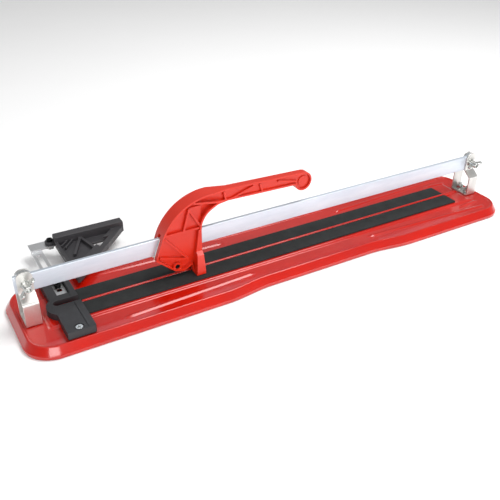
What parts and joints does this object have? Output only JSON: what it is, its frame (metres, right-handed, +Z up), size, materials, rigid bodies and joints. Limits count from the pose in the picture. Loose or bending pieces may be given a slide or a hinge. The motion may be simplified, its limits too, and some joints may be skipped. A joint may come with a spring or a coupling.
{
  "type": "tile cutter",
  "caption": "Manual rail tile cutter: a long pressed steel tray with rubber pads, a clamped rail, a sliding scoring handle, a slotted end fence and an adjustable angle square.",
  "frame": {"origin": "the middle of the tray, on the surface it stands on", "axes": "+X along the rail and cutting line, away from the end fence; +Y across the tray to the side of the angle square; +Z up"},
  "size_m": [0.76, 0.234, 0.127],
  "materials": {
    "red_enamel": "glossy red powder coat on pressed sheet steel",
    "red_plastic": "satin red moulded nylon",
    "pad_rubber": "matt black ribbed rubber sheet",
    "black_rubber": "moulded black rubber",
    "zinc_strap": "bright zinc plated strip steel",
    "zinc_rail": "drawn steel bar, galvanised",
    "zinc_fasteners": "bright zinc plated fasteners",
    "grey_plastic": "dark grey moulded plastic, fine texture",
    "black_plastic": "charcoal moulded plastic",
    "white_nylon": "natural nylon",
    "black_steel": "black oxide steel",
    "bearing_steel": "ground bearing steel",
    "carbide": "ground tungsten carbide"
  },
  "bodies": {
    "base": {"base_tray": "red_enamel", "rubber_feet": "black_rubber", "front_pad": "pad_rubber", "rear_pad": "pad_rubber", "near_bracket": "zinc_strap", "far_bracket": "zinc_strap", "rail": "zinc_rail", "base_bolts": "zinc_fasteners", "base_washers": "zinc_fasteners", "base_nuts": "zinc_fasteners", "rail_bolts": "zinc_fasteners", "rail_bolt_washers": "zinc_fasteners", "fence_body": "grey_plastic", "fence_screws": "zinc_fasteners", "fence_nuts": "zinc_fasteners", "clamp_washer": "zinc_fasteners", "clamp_nut": "zinc_fasteners"},
    "near_wing_nut": {"near_wing_nut": "zinc_fasteners"},
    "far_wing_nut": {"far_wing_nut": "zinc_fasteners"},
    "clamp_screw": {"clamp_screw": "black_steel"},
    "arm": {"slide_arm": "zinc_strap", "square_pivot_screw": "black_steel", "square_pivot_nut": "zinc_fasteners"},
    "square": {"angle_square": "black_plastic"},
    "carriage": {"top_axle": "bearing_steel", "top_inner_ring": "bearing_steel"},
    "top_roller": {"top_roller": "bearing_steel"},
    "handle": {"handle": "red_plastic", "guide_pads": "white_nylon", "bottom_axle": "bearing_steel", "bottom_inner_ring": "bearing_steel", "wheel_axle": "black_steel", "wheel_spacers": "bearing_steel"},
    "bottom_roller": {"bottom_roller": "bearing_steel"},
    "scoring_wheel": {"scoring_wheel": "carbide"}
  },
  "joints": [
    {"name": "carriage_slide", "type": "slide", "parent": "base", "child": "carriage", "axis": [1, 0, 0], "range_m": [-0.135, 0.455]},
    {"name": "handle_tilt", "type": "hinge", "parent": "carriage", "child": "handle", "pos_m": [-0.173, 0, 0.0836], "axis": [0, -1, 0], "range_deg": [0, 20]},
    {"name": "top_roller_spin", "type": "hinge", "parent": "carriage", "child": "top_roller", "pos_m": [-0.173, 0, 0.0836], "axis": [0, 1, 0], "continuous": true},
    {"name": "bottom_roller_spin", "type": "hinge", "parent": "handle", "child": "bottom_roller", "pos_m": [-0.18, 0, 0.0466], "axis": [0, 1, 0], "continuous": true},
    {"name": "wheel_spin", "type": "hinge", "parent": "handle", "child": "scoring_wheel", "pos_m": [-0.168, 0, 0.033], "axis": [0, 1, 0], "continuous": true},
    {"name": "arm_slide", "type": "slide", "parent": "base", "child": "arm", "axis": [0, 1, 0], "range_m": [-0.014, 0.005]},
    {"name": "square_swivel", "type": "hinge", "parent": "arm", "child": "square", "pos_m": [-0.291, 0.15, 0.021], "axis": [0, 0, 1], "range_deg": [0, 45]},
    {"name": "clamp_screw_turn", "type": "hinge", "parent": "base", "child": "clamp_screw", "pos_m": [-0.3125, 0.0425, 0.02], "axis": [0, 0, 1], "continuous": true},
    {"name": "near_wing_nut_turn", "type": "hinge", "parent": "base", "child": "near_wing_nut", "pos_m": [-0.358, -0.01, 0.0655], "axis": [0, 1, 0], "continuous": true},
    {"name": "far_wing_nut_turn", "type": "hinge", "parent": "base", "child": "far_wing_nut", "pos_m": [0.358, -0.01, 0.0655], "axis": [0, 1, 0], "continuous": true}
  ]
}
